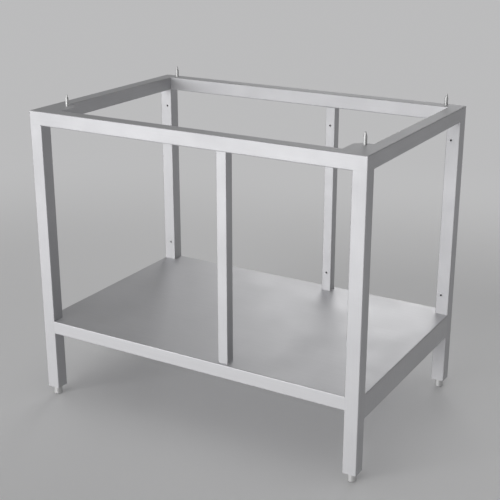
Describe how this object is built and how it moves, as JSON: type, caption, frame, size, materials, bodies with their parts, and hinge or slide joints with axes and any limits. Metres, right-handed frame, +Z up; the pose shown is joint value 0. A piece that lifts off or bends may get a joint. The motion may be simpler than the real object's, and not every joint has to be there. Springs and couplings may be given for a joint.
{
  "type": "oven stand",
  "caption": "Open square-tube stand for a professional oven, with a low sheet shelf, off-centre middle posts, pointed locating pins on top and screw-adjusted round feet.",
  "frame": {"origin": "on the floor under the middle of the stand's footprint", "axes": "+X to the right seen from the front, +Y to the back, +Z up"},
  "size_m": [1.03, 0.675, 0.911],
  "materials": {
    "satin_stainless": "fine satin brushed stainless steel",
    "turned_stainless": "bright turned stainless steel",
    "zinc_plated_steel": "zinc-plated steel",
    "glide_plastic": "black nylon"
  },
  "bodies": {
    "frame": {"top_front_rail": "satin_stainless", "top_rear_rail": "satin_stainless", "top_left_rail": "satin_stainless", "top_right_rail": "satin_stainless", "leg_front_left": "satin_stainless", "leg_front_right": "satin_stainless", "leg_rear_left": "satin_stainless", "leg_rear_right": "satin_stainless", "mid_post_front": "satin_stainless", "mid_post_rear": "satin_stainless", "pin_gusset_left": "satin_stainless", "pin_gusset_right": "satin_stainless", "locating_pin_front_left": "turned_stainless", "locating_pin_front_right": "turned_stainless", "locating_pin_rear_left": "turned_stainless", "locating_pin_rear_right": "turned_stainless", "pin_nuts": "zinc_plated_steel", "lower_shelf": "satin_stainless", "shelf_stiffener_left": "satin_stainless", "shelf_stiffener_right": "satin_stainless", "foot_socket_front_left": "zinc_plated_steel", "foot_socket_front_right": "zinc_plated_steel", "foot_socket_rear_left": "zinc_plated_steel", "foot_socket_rear_right": "zinc_plated_steel"},
    "front_left_glide": {"foot_glide_front_left": "glide_plastic"},
    "front_left_foot": {"foot_front_left": "turned_stainless", "foot_spindle_front_left": "zinc_plated_steel"},
    "front_right_glide": {"foot_glide_front_right": "glide_plastic"},
    "front_right_foot": {"foot_front_right": "turned_stainless", "foot_spindle_front_right": "zinc_plated_steel"},
    "rear_left_glide": {"foot_glide_rear_left": "glide_plastic"},
    "rear_left_foot": {"foot_rear_left": "turned_stainless", "foot_spindle_rear_left": "zinc_plated_steel"},
    "rear_right_glide": {"foot_glide_rear_right": "glide_plastic"},
    "rear_right_foot": {"foot_rear_right": "turned_stainless", "foot_spindle_rear_right": "zinc_plated_steel"}
  },
  "joints": [
    {"name": "front_left_foot_height", "type": "slide", "parent": "frame", "child": "front_left_glide", "axis": [0, 0, -1], "range_m": [0, 0.0245]},
    {"name": "front_left_foot_turn", "type": "hinge", "parent": "front_left_glide", "child": "front_left_foot", "pos_m": [-0.495, -0.3175, 0.028], "axis": [0, 0, -1], "range_deg": [0, 5040]},
    {"name": "front_right_foot_height", "type": "slide", "parent": "frame", "child": "front_right_glide", "axis": [0, 0, -1], "range_m": [0, 0.0245]},
    {"name": "front_right_foot_turn", "type": "hinge", "parent": "front_right_glide", "child": "front_right_foot", "pos_m": [0.495, -0.3175, 0.028], "axis": [0, 0, -1], "range_deg": [0, 5040]},
    {"name": "rear_left_foot_height", "type": "slide", "parent": "frame", "child": "rear_left_glide", "axis": [0, 0, -1], "range_m": [0, 0.0245]},
    {"name": "rear_left_foot_turn", "type": "hinge", "parent": "rear_left_glide", "child": "rear_left_foot", "pos_m": [-0.495, 0.3175, 0.028], "axis": [0, 0, -1], "range_deg": [0, 5040]},
    {"name": "rear_right_foot_height", "type": "slide", "parent": "frame", "child": "rear_right_glide", "axis": [0, 0, -1], "range_m": [0, 0.0245]},
    {"name": "rear_right_foot_turn", "type": "hinge", "parent": "rear_right_glide", "child": "rear_right_foot", "pos_m": [0.495, 0.3175, 0.028], "axis": [0, 0, -1], "range_deg": [0, 5040]}
  ],
  "couplings": [
    {"joint": "front_left_foot_height", "follows": "front_left_foot_turn", "m_per_rad": 0.00027852},
    {"joint": "front_right_foot_height", "follows": "front_right_foot_turn", "m_per_rad": 0.00027852},
    {"joint": "rear_left_foot_height", "follows": "rear_left_foot_turn", "m_per_rad": 0.00027852},
    {"joint": "rear_right_foot_height", "follows": "rear_right_foot_turn", "m_per_rad": 0.00027852}
  ]
}
